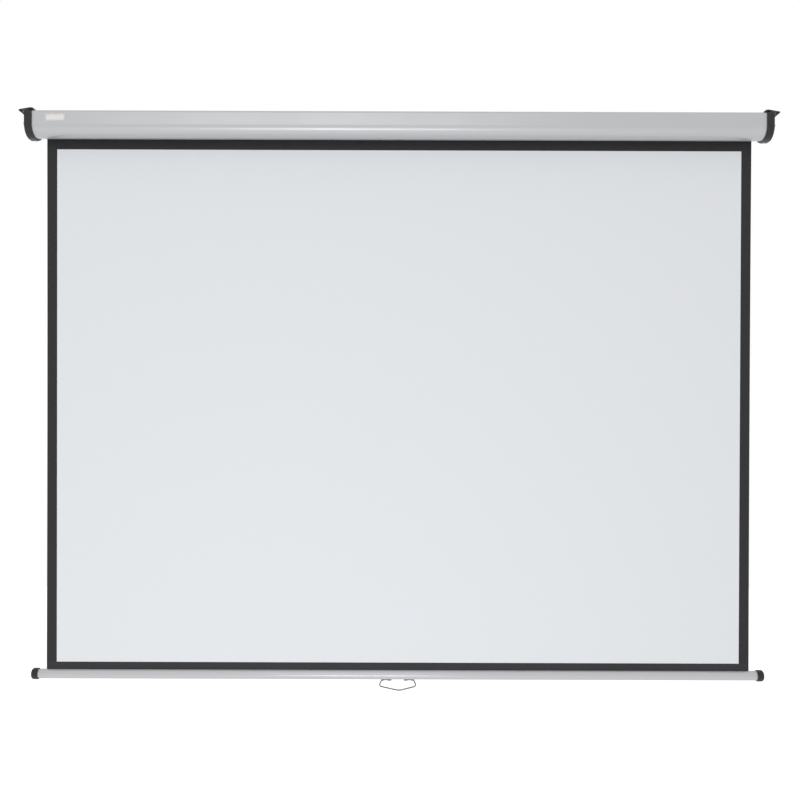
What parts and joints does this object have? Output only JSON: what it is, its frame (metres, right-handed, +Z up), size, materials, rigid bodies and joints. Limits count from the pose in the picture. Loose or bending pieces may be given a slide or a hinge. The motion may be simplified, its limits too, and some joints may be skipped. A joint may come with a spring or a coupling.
{
  "type": "pull down projector screen",
  "caption": "Wall or ceiling hung projection screen whose cloth pulls down from a spring roller in a slim metal case.",
  "frame": {"origin": "Centre of the case's back face, on the wall, half way up the case.", "axes": "+X to the right along the case seen from the front, +Y into the wall, +Z up."},
  "size_m": [1.636, 0.0718, 1.2622],
  "materials": {
    "case_silver": "satin silver",
    "bar_silver": "satin silver",
    "cap_plastic": "fine moulded grain",
    "bar_cap_plastic": "satin",
    "label_film": "printed film",
    "cloth_white": "matt white coating",
    "cloth_black": "matt black coating",
    "screw_zinc": "zinc plated",
    "clip_zinc": "zinc plated",
    "handle_wire": "drawn, zinc plated",
    "roller_steel": "galvanised",
    "spindle_steel": "plain",
    "spring_steel": "oiled",
    "pawl_steel": "stamped",
    "pin_zinc": "zinc plated",
    "rod_steel": "plain",
    "plug_nylon": "moulded"
  },
  "bodies": {
    "case": {"case_shell": "case_silver", "left_end_cap": "cap_plastic", "right_end_cap": "cap_plastic", "left_upper_cap_screw": "screw_zinc", "left_lower_cap_screw": "screw_zinc", "right_upper_cap_screw": "screw_zinc", "right_lower_cap_screw": "screw_zinc", "front_label": "label_film", "spring_spindle": "spindle_steel", "ratchet_hub": "spindle_steel", "spring_anchor": "plug_nylon", "torsion_spring": "spring_steel", "screen_cloth": "cloth_white"},
    "roller": {"roller_tube": "roller_steel", "cloth_roll": "cloth_black", "idler_end_plug": "plug_nylon", "idler_pin": "pin_zinc", "spring_end_plug": "plug_nylon", "upper_pawl_pin": "pin_zinc", "lower_pawl_pin": "pin_zinc"},
    "upper_pawl": {"upper_pawl": "pawl_steel"},
    "lower_pawl": {"lower_pawl": "pawl_steel"},
    "bottom_bar": {"bottom_bar_tube": "bar_silver", "left_bar_cap": "bar_cap_plastic", "right_bar_cap": "bar_cap_plastic", "cloth_hem": "cloth_black", "hem_rod": "rod_steel", "left_handle_clip": "clip_zinc", "right_handle_clip": "clip_zinc", "left_clip_rivet": "clip_zinc", "right_clip_rivet": "clip_zinc"},
    "handle": {"pull_handle": "handle_wire"}
  },
  "joints": [
    {"name": "bar_slide", "type": "slide", "parent": "case", "child": "bottom_bar", "axis": [0, 0, 1], "range_m": [0, 1.1525], "deforming": ["screen_cloth"]},
    {"name": "roller_spin", "type": "hinge", "parent": "case", "child": "roller", "pos_m": [0, -0.02848, 0], "axis": [1, 0, 0], "continuous": true},
    {"name": "upper_pawl_swing", "type": "hinge", "parent": "roller", "child": "upper_pawl", "pos_m": [0.7827, -0.02088, 0.009], "axis": [1, 0, 0], "range_deg": [0, 20]},
    {"name": "lower_pawl_swing", "type": "hinge", "parent": "roller", "child": "lower_pawl", "pos_m": [0.7827, -0.03608, -0.009], "axis": [1, 0, 0], "range_deg": [0, 20]},
    {"name": "handle_swing", "type": "hinge", "parent": "bottom_bar", "child": "handle", "pos_m": [0, -0.013, -1.2074], "axis": [1, 0, 0], "range_deg": [-85, 85]}
  ],
  "couplings": [
    {"joint": "roller_spin", "follows": "bar_slide", "rad_per_m": 59.97}
  ]
}
